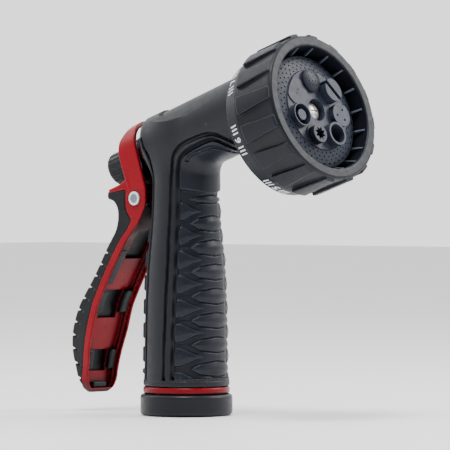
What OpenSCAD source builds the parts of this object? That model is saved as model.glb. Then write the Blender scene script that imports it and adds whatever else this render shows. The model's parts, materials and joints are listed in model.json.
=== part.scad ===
// Pistol-grip garden hose nozzle: rear squeeze lever, flow knob and seven-pattern turret.
// The hose axis is Z, with the inlet mouth at z = 0. The valve barrel leans up towards +X.

/* [Hose inlet] */
// Radius of the threaded socket's bore (3/4 inch garden hose thread, minor radius)
inlet_bore_r = 12.35; // [12.2:0.05:12.5]
// Outer radius of the collar round the socket
collar_r = 20; // [19.6:0.1:20.4]
// Height of the collar
collar_h = 9.2; // [8.8:0.1:9.2]
// Outer radius of the coloured trim ring
trim_r = 18.8; // [18.4:0.1:19]

/* [Handle] */
// Radius of the grip at its foot
grip_foot_r = 18.6; // [18:0.1:18.8]
// Radius of the grip half way up
grip_mid_r = 17.7; // [17:0.1:18]
// Radius of the grip under the barrel
grip_top_r = 14.8; // [14.4:0.1:15.2]
// Outer radius of the water tube inside the handle
tube_r = 11; // [10:0.5:11.5]
// Radius of the waterway in the handle
waterway_r = 7.5; // [6:0.5:8]

/* [Barrel] */
// Height at which the valve axis crosses the hose axis
valve_z = 119.7; // [119:0.1:120]
// Angle of the barrel above the horizontal
barrel_tilt = 18.5; // [18:0.1:19]
// Outer radius of the barrel skin
barrel_r = 16; // [15.6:0.1:16.2]
// Radius of the valve chamber
chamber_r = 9; // [8.6:0.1:9.2]

/* [Turret] */
// Distance from the valve axis down to the turret axis, and from there to each outlet
turret_drop = 12.8; // [12.6:0.1:13]
// Number of spray patterns
stations = 7; // [7:1:7]
// Outer radius over the grip lugs
lug_r = 33.2; // [33:0.1:33.6]
// Number of grip lugs
lugs = 16; // [12:1:20]
// Inner radius of the turret's rim
rim_r = 27.2; // [27.1:0.1:27.4]
// Number of ribs between the rim and the face
ribs = 18; // [12:1:24]
// Number of shower holes in each row
row_holes = 44; // [24:1:48]

/* [Lever] */
// Position of the lever's pivot behind the hose axis
pivot_x = -19.5; // [-19.8:0.1:-19.2]
// Height of the lever's pivot
pivot_z = 93.7; // [93.4:0.1:94]
// Half the lever's outer width
lever_half = 12; // [11.9:0.1:12.2]
// Wall thickness of the lever
lever_wall = 1.8; // [1.6:0.1:1.8]

/* [Knob] */
// Radius of the flow knob
knob_r = 7.4; // [7:0.1:7.6]
// Number of flutes round the knob
flutes = 16; // [12:1:18]

/* [Hidden] */
$fn = 64;

// Stations along the valve axis, from the point where it crosses the hose axis
barrel_back = -14.5;
casting_back = -16;
gland_back = -27.4;
gland_inner = -11;
gland_r = 9.8;
seat_s = 10.5;
seat_len = 3;
stem_back = -41;
stem_front = 9;
knob_back = -42.6;
knob_front = -31.6;
yoke_s = -31;
yoke_t = 1.8;
flange_back = 43.5;
flange_step = 45.4;
flange_front = 49.2;
ring_back = 49.5;
bevel_front = 56.2;
lug_back = 57.8;
lug_front = 74.4;
lug_w = 6.4;
floor_r = 32;
band_r = 32.4;
rib_back = 62;
rim_s = 77.8;
base_front = 53;
hub_front = 68.2;
plate_edge_s = 71.6;
plate_top_s = 73.9;
outlet_s = 77;

// Radii of the running fits
fit = 0.06;
stem_r = 2.5;
pivot_r = 2.4;
post_r = 3.4;
screw_r = 1.6;
port_r = 4.2;
plate_r = 25.2;
recess_r = 4.9;
hub_r = 5.8;
outlet_r = 5.1;

// Inlet and handle
collar_bore = 16.2;
socket_top = 12.5;
tube_top = 80;
mouth = 0.6;
washer_z = 8.6;
washer_r = 12;
washer_top = 11;
trim_z = 9.3;
grip_z = 14.5;
grip_top_z = 98;
lug_half = 4.8;
boss_r = 3.3;
arch_inner_r = lever_half - lever_wall;
arch_h = 3;

// Sides of a spring's wire, and rings in each of its turns
coil_sides = 6;
coil_steps = 14;

// ---------- frames ----------

// Barrel frame: X runs forward along the valve axis, Z points away from the handle
module in_barrel() { translate([0, 0, valve_z]) rotate([0, -barrel_tilt, 0]) children(); }

// An axis along the barrel, h above the valve axis: Z runs forward from s
module axial(s, h = 0) { in_barrel() translate([s, 0, h]) rotate([0, 90, 0]) children(); }

// The same on the turret's axis
module turret(s) { axial(s, -turret_drop) children(); }

// Turns to the place of station i, with its own axis at the centre
module station(s, i) {
    turret(s) rotate([0, 0, 180 - i * 360 / stations]) translate([turret_drop, 0, 0]) children();
}

// A side view drawn in X and Z, extruded to both sides of the centre plane
module side(half) { rotate([90, 0, 0]) linear_extrude(2 * half, center = true) children(); }

// A side view drawn in the barrel frame
module barrel_side(half) { in_barrel() side(half) children(); }

// ---------- small helpers ----------

module tube(r_out, r_in, h) {
    difference() {
        cylinder(r = r_out, h = h);
        translate([0, 0, -1]) cylinder(r = r_in, h = h + 2);
    }
}

// A ring whose outer edges are rounded with radius e
module round_ring(r_out, r_in, h, e) {
    rotate_extrude() union() {
        translate([r_in, 0]) square([r_out - e - r_in, h]);
        translate([r_in, e]) square([r_out - r_in, h - 2 * e]);
        for (z = [e, h - e]) translate([r_out - e, z]) circle(e, $fn = 24);
    }
}

// A coil of round wire along Z, closed at both ends
module coil(r, wire, h, turns) {
    n = turns * coil_steps;
    ring = [for (i = [0:n], j = [0:coil_sides - 1])
        let (a = 360 * i / coil_steps, b = 360 * j / coil_sides, q = r + wire * cos(b))
        [q * cos(a), q * sin(a), wire + (h - 2 * wire) * i / n + wire * sin(b)]];
    skin = [for (i = [0:n - 1], j = [0:coil_sides - 1])
        let (a = i * coil_sides, k = (j + 1) % coil_sides)
        [a + j, a + k, a + k + coil_sides, a + j + coil_sides]];
    ends = [[for (j = [coil_sides - 1:-1:0]) j], [for (j = [0:coil_sides - 1]) n * coil_sides + j]];
    polyhedron(ring, concat(skin, ends));
}

// ---------- hose inlet ----------

module inlet_socket() color("darkgoldenrod") difference() {
    translate([0, 0, mouth]) cylinder(r = collar_bore - 0.15, h = socket_top - mouth);
    translate([0, 0, -1]) cylinder(r = inlet_bore_r, h = washer_z + 1);
    cylinder(r = washer_r, h = washer_top);
    cylinder(r = waterway_r, h = socket_top + 1);
}

module inlet_collar() color("#2b2d31") round_ring(collar_r, collar_bore, collar_h, 1.6);

module trim_ring() color("#b8262e")
    translate([0, 0, trim_z]) round_ring(trim_r, collar_bore + 0.2, socket_top - trim_z, 1.1);

module hose_washer() color("#3a3a3a")
    translate([0, 0, washer_z]) tube(washer_r, waterway_r, washer_top - washer_z);

// ---------- casting ----------

// Flanged foot and water tube inside the handle, up to height z
module tube_core(z) {
    translate([0, 0, socket_top]) cylinder(r = collar_bore - 1.2, h = 3.5);
    translate([0, 0, socket_top]) cylinder(r = tube_r, h = z - socket_top);
}

// Barrel of the casting round the valve chamber
module barrel_core() axial(casting_back) cylinder(r = chamber_r + 3.5, h = flange_back - casting_back);

// Outer surfaces that the moulded skin sits on
module casting_core() {
    tube_core(valve_z);
    barrel_core();
}

module handle_tube() color("#6f7276") difference() {
    tube_core(tube_top);
    translate([0, 0, socket_top - 1]) cylinder(r = waterway_r, h = tube_top);
}

// Ear behind the handle that carries the lever's pivot
module pivot_ear() {
    side(lug_half) polygon([[-6, pivot_z - 9], [pivot_x, pivot_z - boss_r], [pivot_x, pivot_z + boss_r],
        [-10, pivot_z + 9], [-4, pivot_z + 9]]);
    translate([pivot_x, 0, pivot_z]) rotate([90, 0, 0]) cylinder(r = boss_r, h = 2 * lug_half, center = true);
}

module valve_casting() color("#6f7276") difference() {
    union() {
        translate([0, 0, tube_top]) cylinder(r = tube_r, h = valve_z - tube_top);
        barrel_core();
        pivot_ear();
    }
    translate([0, 0, tube_top - 1]) cylinder(r = waterway_r, h = valve_z - tube_top + 1);
    axial(casting_back - 1) cylinder(r = chamber_r, h = flange_back - casting_back + 2);
    translate([pivot_x, 0, pivot_z]) rotate([90, 0, 0])
        cylinder(r = pivot_r + fit, h = 3 * lug_half, center = true);
}

// ---------- moulded skin ----------

// Outline of the skin: tapered handle, neck and barrel
module skin() {
    rotate_extrude() polygon([[0, grip_z], [grip_foot_r, grip_z], [grip_mid_r, 53],
        [grip_top_r, grip_top_z - 6], [grip_top_r, valve_z - 8], [0, valve_z - 8]]);
    axial(barrel_back) rotate_extrude() union() {
        square([barrel_r - 2.5, flange_back - barrel_back]);
        translate([0, 2.5]) square([barrel_r, flange_back - barrel_back - 2.5]);
        translate([barrel_r - 2.5, 2.5]) circle(2.5, $fn = 24);
    }
    side(barrel_r - 5) polygon([[0, 92], [12.4, 94], [13.4, 101], [16, 106.5], [20.6, 110.4],
        [27, 113.5], [27, 118], [0, 118]]);
}

// Side view of the rubber front: forward of the panel, below the line that sweeps along the barrel
module front_zone() {
    side(barrel_r + 8) polygon([[0.8, grip_z + 2], [3.6, 68], [6.2, 104], [7, 111], [9.5, 114.8],
        [15, 117.8], [23.5, 120.4], [28.6, 120.6], [34, 118.6], [40, 115], [40, 90], [24, 60],
        [24, grip_z + 2]]);
}

// Side view of the rubber strip down the back
module back_zone() {
    side(barrel_r + 8) polygon([[-11.9, grip_z + 2], [-8.6, 79], [-8.2, 86], [-24, 86], [-24, grip_z + 2]]);
}

module body_jacket() color("#3a3c42") {
    difference() {
        skin();
        casting_core();
        front_zone();
        back_zone();
        side(lug_half) polygon([[0, 84], [-30, 84], [-30, 104], [0, 104]]);
        axial(gland_back) cylinder(r = gland_r + 0.2, h = casting_back - gland_back);
    }
    translate([0, 0, socket_top]) tube(grip_foot_r, collar_bore - 1.2, grip_z - socket_top);
}

module front_grip() color("#2c3039") difference() {
    intersection() {
        skin();
        front_zone();
    }
    casting_core();
}

module back_grip() color("#2c3039") difference() {
    intersection() {
        skin();
        back_zone();
    }
    casting_core();
}

// ---------- valve ----------

module gland_nut() color("silver") axial(gland_back) difference() {
    union() {
        round_ring(gland_r, 4.4, casting_back - gland_back, 1);
        translate([0, 0, casting_back - gland_back]) tube(chamber_r, 4.4, gland_inner - casting_back);
        cylinder(r = 6, h = 5);
    }
    translate([0, 0, -1]) cylinder(r = stem_r + fit, h = 30);
    translate([0, 0, 5]) cylinder(r = 4.4, h = 30);
}

module stem_seal() color("#202020") axial(gland_back + 5) tube(4.4, stem_r + fit, 3);

module valve_seat() color("silver") axial(seat_s) difference() {
    cylinder(r = chamber_r, h = seat_len);
    translate([0, 0, -1]) cylinder(r = 5, h = seat_len + 2);
}

module valve_stem() color("silver") axial(stem_back) cylinder(r = stem_r, h = stem_front - stem_back);

module valve_plug() color("goldenrod") axial(seat_s - 5.6) difference() {
    cylinder(r = 6.8, h = 4);
    translate([0, 0, -1]) cylinder(r = stem_r, h = 6);
}

module plug_seal() color("#202020") axial(seat_s - 1.6) difference() {
    cylinder(r = 6.5, h = 1.4);
    translate([0, 0, -1]) cylinder(r = stem_r, h = 3);
}

module thrust_washer() color("silver") axial(knob_front) tube(5.4, stem_r, yoke_s - 0.3 - knob_front);

module valve_spring() color("silver") axial(gland_inner + 0.1) coil(5.6, 0.55, seat_s - 5.8 - gland_inner, 5);

module flow_knob() color("#26282c") axial(knob_back) difference() {
    rotate_extrude() union() {
        square([knob_r - 1.2, knob_front - knob_back - 0.05]);
        translate([0, 1.2]) square([knob_r, knob_front - knob_back - 1.25]);
        translate([knob_r - 1.2, 1.2]) circle(1.2, $fn = 24);
    }
    for (i = [0:flutes - 1]) rotate([0, 0, 360 * i / flutes])
        translate([knob_r + 0.35, 0, -1]) cylinder(r = 0.8, h = 20, $fn = 24);
    translate([0, 0, stem_back - knob_back - 0.3]) cylinder(r = stem_r + fit, h = 20);
}

// ---------- lever ----------

// Rear edge of the red frame, from the foot up to the thumb spur
function frame_back() = [[-54.6, 11.5], [-55.6, 18], [-56.4, 27], [-55.6, 36], [-52.4, 46],
    [-47, 55.6], [-40.4, 65.4], [-34.6, 73.6], [-29.4, 82], [-26.6, 88], [-25.7, 94], [-25.2, 100]];

// Free edge of the side walls, from the pivot down to the foot
function frame_free() = [[-13.9, 97], [-13.7, 90], [-16.5, 86.5], [-21.1, 83.6], [-31.7, 67.4],
    [-37.3, 56], [-42.9, 43.7], [-46.3, 33.1], [-47.9, 23.3], [-47.9, 15.1], [-46.8, 11.4], [-50.5, 9.1]];

// Inside of the channel, open towards the handle
module channel() {
    wall = [for (p = frame_back()) [p[0] + lever_wall, max(p[1], 12)]];
    side(lever_half - lever_wall) polygon(concat(wall, [[-20, 104], [0, 104], [0, 12]]));
}

// Hood-shaped fork over the valve stem
module arch() {
    hood = [[-29.6, -15], [-29.4, 4], [-28, 8], [-25, 12.2], [-21.5, 16], [-19.3, 16], [-19.5, -15]];
    difference() {
        intersection() {
            union() {
                axial(-32, arch_h) cylinder(r = lever_half, h = 14);
                barrel_side(lever_half) translate([-32, -15]) square([14, 15 + arch_h]);
            }
            barrel_side(lever_half + 1) polygon(hood);
        }
        axial(-33, arch_h) cylinder(r = arch_inner_r, h = 16);
        barrel_side(arch_inner_r) translate([-33, -20]) square([16, 20 + arch_h]);
    }
}

// Cross wall behind the fork that pushes the knob back; its slot is open at the top
module yoke() {
    difference() {
        barrel_side(lever_half) translate([yoke_s, -15]) square([yoke_t, 15]);
        axial(yoke_s - 1) cylinder(r = 3.6, h = yoke_t + 2);
    }
}

module lever_frame() color("#b8262e") difference() {
    union() {
        difference() {
            side(lever_half) polygon(concat(frame_back(), [[-24.5, 104], [-17, 104]], frame_free()));
            channel();
            barrel_side(lever_half + 1) translate([-60, -14.5]) square([80, 30]);
        }
        arch();
        yoke();
        barrel_side(lever_half) polygon([[-33.5, -15], [-29, -15], [-29, -13.6], [-39, -9.9], [-39.6, -11.6]]);
        for (k = [-1, 1]) translate([pivot_x, k * (lug_half + 0.3), pivot_z])
            rotate([-90 * k, 0, 0]) cylinder(r = boss_r, h = lever_half - lug_half - 1.2);
    }
    translate([pivot_x, 0, pivot_z]) rotate([90, 0, 0]) cylinder(r = pivot_r, h = 30, center = true);
}

module lever_pad() color("#1f2023") {
    back = frame_back();
    outer = [for (i = [len(back) - 2:-1:0]) let (k = min(i, 7) / 7)
        back[i] - [4.3 - 1.2 * (1 - k), 0]];
    side(lever_half - 1) polygon(concat([for (i = [0:len(back) - 2]) back[i]], outer));
}

// Rivet with a dished head at each end
module pivot_rivet() color("silver") translate([pivot_x, 0, pivot_z]) rotate([90, 0, 0]) difference() {
    union() {
        cylinder(r = pivot_r, h = 2 * lever_half + 0.4, center = true);
        for (k = [-1, 1]) translate([0, 0, k * (lever_half + 0.35)]) cylinder(r = 3, h = 0.7, center = true);
    }
    for (k = [-1, 1]) translate([0, 0, k * (lever_half + 0.7)]) cylinder(r = 2, h = 0.6, center = true);
}

// ---------- turret seat and fixings ----------

module turret_seat() color("#33363b") difference() {
    union() {
        turret(flange_back) cylinder(r = 21, h = flange_front - flange_back);
        turret(flange_step) cylinder(r = 24, h = flange_front - flange_step);
        turret(flange_front) cylinder(r = post_r, h = hub_front + 0.3 - flange_front);
    }
    axial(flange_back - 1) cylinder(r = port_r, h = 10);
    axial(flange_front - 2.4) cylinder(r = 6.6, h = 4);
    turret(hub_front - 12) cylinder(r = screw_r, h = 20);
    turret(flange_step + 0.4) translate([22.2, 0, 0]) cylinder(r = 1.3, h = 10, $fn = 32);
}

module port_seal() color("#202020") axial(flange_front - 2.4) tube(6.6, 4.6, 2.6);

module detent_ball() color("silver") turret(flange_front - 0.7) translate([22.2, 0, 0]) sphere(r = 1.2);

module detent_spring() color("silver")
    turret(flange_step + 0.4) translate([22.2, 0, 0]) coil(0.9, 0.2, 1.45, 3);

module centre_screw() color("silver") turret(hub_front + 0.5 + 0.8) difference() {
    union() {
        intersection() {
            cylinder(r = 4, h = 3.2);
            translate([0, 0, -2.8]) sphere(r = 6);
        }
        translate([0, 0, -11]) cylinder(r = screw_r, h = 11.1);
    }
    for (a = [0, 90]) rotate([0, 0, a]) translate([-2.4, -0.55, 1.9]) cube([4.8, 1.1, 3]);
}

module screw_washer() color("silver") turret(hub_front + 0.3) tube(4.5, screw_r, 1);

// ---------- turret ----------

module turret_ring() color("#34373d") {
    turret(ring_back) difference() {
        union() {
            rotate_extrude() polygon([[20, 0], [29.3, 0], [29.9, 0.6], [floor_r, bevel_front - ring_back],
                [floor_r, lug_front - ring_back], [band_r, lug_front - ring_back],
                [band_r, rim_s - ring_back - 0.8], [band_r - 0.8, rim_s - ring_back], [20, rim_s - ring_back]]);
            for (i = [0:lugs - 1]) rotate([0, 0, 360 * (i + 0.5) / lugs]) intersection() {
                translate([0, 0, lug_back - ring_back]) cylinder(r = lug_r, h = lug_front + 0.5 - lug_back);
                translate([29, -lug_w / 2, 0]) cube([10, lug_w, 40]);
            }
        }
        translate([0, 0, -1]) cylinder(r = rim_r, h = 40);
    }
    for (i = [0:ribs - 1]) turret(rib_back) rotate([0, 0, 360 * (i + 0.5) / ribs])
        translate([plate_r + 0.05, -0.4, 0]) cube([rim_r - plate_r + 0.5, 0.8, plate_edge_s + 1 - rib_back]);
}

module turret_base() color("#33363b") difference() {
    union() {
        turret(ring_back) cylinder(r = rim_r, h = base_front - ring_back);
        turret(base_front) cylinder(r = hub_r, h = hub_front - base_front);
    }
    turret(ring_back - 1) cylinder(r = post_r + fit, h = 30);
    for (i = [0:stations - 1]) station(ring_back - 1, i) cylinder(r = port_r, h = 10);
    turret(ring_back - 0.1) difference() {
        cylinder(r = 23.6, h = 0.8);
        cylinder(r = 20.8, h = 0.8);
    }
    for (i = [0:stations - 1]) turret(ring_back - 0.2) rotate([0, 0, 360 * i / stations])
        translate([22.2, 0, 0]) sphere(r = 1.6);
}

// Domed face with the shower holes, a centre recess and seven round windows
module nozzle_plate() color("#3b4048") difference() {
    turret(0) rotate_extrude() polygon([[recess_r, plate_top_s], [17.7, plate_top_s],
        [18, plate_top_s - 0.5], [23, plate_edge_s + 0.6], [plate_r - 0.4, plate_edge_s],
        [plate_r, plate_edge_s - 0.6], [plate_r, base_front], [plate_r - 2, base_front],
        [plate_r - 2, plate_edge_s - 2.2], [17, plate_top_s - 2.6], [hub_r, plate_top_s - 2.6],
        [hub_r, hub_front], [recess_r, hub_front]]);
    for (i = [0:stations - 2]) station(60, i) cylinder(r = outlet_r + 0.02, h = 20);
    for (k = [0:3], i = [0:row_holes - 1]) turret(65) rotate([0, 0, 360 * (i + k / 2) / row_holes])
        translate([18.9 + 1.5 * k, 0, 0]) cylinder(r = 0.36, h = 12, $fn = 16);
}

// Straight outlet barrel, from the base to height s
module outlet_barrel(i, s, r_in = 3.8) {
    station(base_front, i) tube(outlet_r, r_in, s - base_front);
}

module mist_outlet() color("#3b4048") {
    outlet_barrel(0, outlet_s - 1.8);
    station(outlet_s - 1.8, 0) difference() {
        intersection() {
            cylinder(r = outlet_r, h = 3);
            translate([0, 0, -10.8]) sphere(r = 12);
        }
        translate([0, 0, -1]) cylinder(r = 3.8, h = 1.6);
        for (i = [0:6]) rotate([0, 0, 360 * i / 7]) translate([2.9, 0, -1]) cylinder(r = 0.3, h = 6, $fn = 16);
        for (i = [0:2]) rotate([0, 0, 120 * i]) translate([1.2, 0, -1]) cylinder(r = 0.3, h = 6, $fn = 16);
    }
}

module fan_outlet() color("#3b4048") difference() {
    station(base_front, 1) cylinder(r = outlet_r, h = outlet_s + 0.6 - base_front);
    station(base_front - 1, 1) cylinder(r = 3.6, h = outlet_s - base_front - 2.4);
    station(outlet_s - 4.4, 1) translate([-1.6, -7, 0]) cube([1.8, 14, 8]);
    station(outlet_s + 0.6, 1) translate([0.2, 0, 0]) rotate([0, 8, 0]) translate([0, -7, 0]) cube([9, 14, 8]);
}

module soaker_outlet() color("#3b4048") difference() {
    station(base_front, 2) cylinder(r = outlet_r, h = outlet_s - 0.8 - base_front);
    station(base_front - 1, 2) cylinder(r = 3.8, h = outlet_s - base_front - 1.6);
    for (i = [0:2]) station(outlet_s - 4, 2) rotate([0, 0, 120 * i + 73])
        translate([2.6, 0, 0]) cylinder(r = 0.55, h = 8, $fn = 24);
}

module full_outlet() color("#3b4048") outlet_barrel(3, outlet_s + 0.3, 4.1);

// Eight-point star jet on a stepped barrel
module star_outlet() color("#3b4048") difference() {
    union() {
        station(base_front, 4) cylinder(r = outlet_r, h = outlet_s - 2.6 - base_front);
        station(outlet_s - 4, 4) cylinder(r = 4, h = 4.2);
    }
    station(base_front - 1, 4) cylinder(r = 3.3, h = outlet_s - base_front - 1.4);
    station(outlet_s - 4, 4) linear_extrude(8) polygon([for (i = [0:15])
        let (r = i % 2 == 0 ? 3.2 : 1.9) [r * cos(22.5 * i), r * sin(22.5 * i)]]);
}

module cone_outlet() color("#3b4048") outlet_barrel(5, outlet_s - 0.8, 4.6);

// Pin in the middle of the cone outlet, held by a three-armed spider
module cone_pin() color("#4a4f57") {
    station(base_front, 5) cylinder(r = 2.4, h = outlet_s - 1.2 - base_front);
    station(base_front, 5) for (i = [0:2]) rotate([0, 0, 120 * i])
        translate([0, -0.5, 0]) cube([4.55, 1, 3]);
}

// Thin blank cover that sends the water of its port to the shower holes
module shower_cover() color("#3b4048") difference() {
    intersection() {
        station(plate_top_s, 6) cylinder(r = 6.2, h = 0.4);
        turret(plate_top_s) cylinder(r = 17.5, h = 1);
    }
    for (i = [0, 5]) station(plate_top_s - 1, i) cylinder(r = outlet_r + 0.5, h = 3);
    turret(plate_top_s - 1) cylinder(r = recess_r + 0.5, h = 3);
    for (k = [-1, 1]) station(plate_top_s + 0.1, 6) translate([0, k, 0]) cylinder(r = 0.3, h = 2, $fn = 16);
}

handle_tube();
valve_casting();
inlet_socket();
inlet_collar();
trim_ring();
hose_washer();
body_jacket();
front_grip();
back_grip();
gland_nut();
stem_seal();
valve_seat();
turret_seat();
port_seal();
detent_ball();
detent_spring();
centre_screw();
screw_washer();
valve_stem();
valve_plug();
plug_seal();
thrust_washer();
valve_spring();
flow_knob();
lever_frame();
lever_pad();
pivot_rivet();
turret_ring();
turret_base();
nozzle_plate();
mist_outlet();
fan_outlet();
soaker_outlet();
full_outlet();
star_outlet();
cone_outlet();
cone_pin();
shower_cover();
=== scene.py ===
"""Garden hose nozzle: the moulded skin, rubber grips, lever and turret of the visual model."""
import json
import math

import bpy
import numpy as np
from mathutils import Matrix, Vector


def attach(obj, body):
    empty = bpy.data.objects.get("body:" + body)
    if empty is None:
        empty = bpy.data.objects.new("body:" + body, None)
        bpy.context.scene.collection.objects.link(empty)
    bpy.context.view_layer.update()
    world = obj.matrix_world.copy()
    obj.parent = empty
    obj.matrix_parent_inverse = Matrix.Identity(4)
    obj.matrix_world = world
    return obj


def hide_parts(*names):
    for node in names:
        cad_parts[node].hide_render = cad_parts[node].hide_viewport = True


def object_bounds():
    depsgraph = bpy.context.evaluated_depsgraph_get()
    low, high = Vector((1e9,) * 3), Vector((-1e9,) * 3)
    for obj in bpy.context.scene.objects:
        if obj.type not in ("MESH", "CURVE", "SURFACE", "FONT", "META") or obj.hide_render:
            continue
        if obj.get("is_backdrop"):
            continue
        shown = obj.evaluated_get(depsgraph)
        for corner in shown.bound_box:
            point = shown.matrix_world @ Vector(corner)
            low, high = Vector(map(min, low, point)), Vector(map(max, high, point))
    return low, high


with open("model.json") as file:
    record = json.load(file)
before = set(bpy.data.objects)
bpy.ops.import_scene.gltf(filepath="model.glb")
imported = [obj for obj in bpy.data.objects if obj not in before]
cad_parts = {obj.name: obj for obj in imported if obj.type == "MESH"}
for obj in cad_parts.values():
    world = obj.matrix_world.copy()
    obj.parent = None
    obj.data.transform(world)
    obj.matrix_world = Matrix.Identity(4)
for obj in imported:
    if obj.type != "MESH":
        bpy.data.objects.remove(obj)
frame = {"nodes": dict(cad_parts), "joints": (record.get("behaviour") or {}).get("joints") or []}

CAD_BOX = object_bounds()
MM = 0.001

# ---------- places taken from the frame, in millimetres ----------

JOINTS = {joint["name"]: joint for joint in frame["joints"]}
AXIS = JOINTS["knob_turn"]["axis"]
COS, SIN = AXIS[0], AXIS[2]
KNOB_X, _, KNOB_Z = (c / MM for c in JOINTS["knob_turn"]["pos_m"])
VALVE_Z = KNOB_Z - KNOB_X * SIN / COS
TURRET_X, _, TURRET_Z = (c / MM for c in JOINTS["turret_turn"]["pos_m"])
TURRET_H = -TURRET_X * SIN + (TURRET_Z - VALVE_Z) * COS
PIVOT_X, _, PIVOT_Z = (c / MM for c in JOINTS["lever_pivot"]["pos_m"])
STATIONS = 7

# ---------- camera ----------


def direction_from(azimuth, elevation):
    """Unit vector out from the object, for an azimuth and elevation in degrees."""
    a, e = math.radians(azimuth), math.radians(elevation)
    return Vector((math.sin(a) * math.cos(e), -math.cos(a) * math.cos(e), math.sin(e)))


def add_camera(azimuth, elevation, distance, target, lens):
    """Camera looking at target from an azimuth and elevation in degrees."""
    back = direction_from(azimuth, elevation)
    camera = bpy.data.objects.new("camera", bpy.data.cameras.new("camera"))
    camera.data.lens = lens
    camera.location = Vector(target) + back * distance
    camera.rotation_euler = back.to_track_quat("Z", "Y").to_euler()
    bpy.context.scene.collection.objects.link(camera)
    bpy.context.scene.camera = camera


add_camera(azimuth=41.8, elevation=0.5, distance=1.6, target=(0.0224, 0, 0.0823), lens=298)

# ---------- curves and blends ----------


def ease(low, high, value):
    """0 below low, 1 above high, and smooth between."""
    t = np.clip((value - low) / (high - low), 0, 1)
    return t * t * (3 - 2 * t)


def blend(a, b, reach):
    """Union of two distances with a fillet."""
    t = np.clip(0.5 + 0.5 * (b - a) / reach, 0, 1)
    return b + (a - b) * t - reach * t * (1 - t)


def corner(a, b, radius):
    """Intersection of two distances with a rounded edge."""
    rounded = np.hypot(np.maximum(a + radius, 0), np.maximum(b + radius, 0))
    return np.minimum(np.maximum(a, b), -radius) + rounded


def through(value, points):
    """Smooth curve through (value, result) points, flat beyond its ends."""
    knots, results = np.array(points, float).T
    slopes = np.gradient(results, knots)
    value = np.clip(value, knots[0], knots[-1])
    i = np.clip(np.searchsorted(knots, value) - 1, 0, len(knots) - 2)
    width = knots[i + 1] - knots[i]
    t = (value - knots[i]) / width
    start = results[i] * (1 + 2 * t) + slopes[i] * width * t
    end = results[i + 1] * (3 - 2 * t) - slopes[i + 1] * width * (1 - t)
    return start * (1 - t) ** 2 + end * t * t


def flow(points, pieces=5):
    """Smooth open path through a few points."""
    p = np.array([points[0]] + list(points) + [points[-1]], float)
    path = []
    for a, b, c, d in zip(p[:-3], p[1:-2], p[2:-1], p[3:]):
        for t in np.linspace(0, 1, pieces, endpoint=False):
            path.append(0.5 * (2 * b + (c - a) * t + (2 * a - 5 * b + 4 * c - d) * t * t
                               + (3 * b - a - 3 * c + d) * t ** 3))
    return [tuple(q) for q in path] + [tuple(points[-1])]


def to_path(u, v, path):
    """Distance to an open path."""
    nearest = np.full(np.shape(u), FAR)
    for (a, b), (c, d) in zip(path[:-1], path[1:]):
        t = np.clip(((u - a) * (c - a) + (v - b) * (d - b)) / ((c - a) ** 2 + (d - b) ** 2), 0, 1)
        nearest = np.minimum(nearest, (u - a - t * (c - a)) ** 2 + (v - b - t * (d - b)) ** 2)
    return np.sqrt(nearest)


def to_outline(u, v, outline):
    """Signed distance to a closed outline, negative inside."""
    inside = np.zeros(np.shape(u), bool)
    for (a, b), (c, d) in zip(outline, outline[1:] + outline[:1]):
        if b != d:
            inside ^= ((b > v) != (d > v)) & (u < a + (c - a) * (v - b) / (d - b))
    return np.where(inside, -1, 1) * to_path(u, v, outline + outline[:1])


def charted(measure, line, low, high, step=0.25):
    """Distances to a line on a fine grid, for quick bilinear reading."""
    us = np.arange(low[0], high[0] + step, step)
    vs = np.arange(low[1], high[1] + step, step)
    chart = measure(*np.meshgrid(us, vs, indexing="ij"), line)

    def read(u, v):
        i = np.clip((u - low[0]) / step, 0, len(us) - 1.001)
        j = np.clip((v - low[1]) / step, 0, len(vs) - 1.001)
        a, b = i.astype(int), j.astype(int)
        i, j = i - a, j - b
        return ((chart[a, b] * (1 - i) + chart[a + 1, b] * i) * (1 - j)
                + (chart[a, b + 1] * (1 - i) + chart[a + 1, b + 1] * i) * j)

    return read


# ---------- surfaces from distances ----------

CORNERS = [(i, j, k) for i in (0, 1) for j in (0, 1) for k in (0, 1)]
BLOCK = 4            # grid steps in the side of one coarse block
NEAR = 2.2           # extra depth measured round the surface, since blends bend the distances
FAR = 1e9
SETTLE_ROUNDS = 3
NORMAL_STEP = 0.1


def sample(distance, low, high, step):
    """Distances on a grid: measured near the surface, and only their sign elsewhere."""
    counts = [int(math.ceil((high[i] - low[i]) / step / BLOCK)) for i in range(3)]
    middle = (BLOCK - 1) / 2 * step
    centres = [low[i] + middle + BLOCK * step * np.arange(counts[i]) for i in range(3)]
    coarse = distance(*(c.ravel() for c in np.meshgrid(*centres, indexing="ij"))).reshape(counts)
    reach = BLOCK * step + NEAR
    field = coarse
    for axis in range(3):
        field = np.repeat(field, BLOCK, axis)
    near = np.argwhere(np.abs(coarse) < reach) * BLOCK
    offsets = np.array(np.meshgrid(*[range(BLOCK)] * 3, indexing="ij")).reshape(3, -1).T
    spots = (near[:, None] + offsets).reshape(-1, 3)
    field[tuple(spots.T)] = distance(*(np.array(low) + spots * step).T)
    return field


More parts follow.
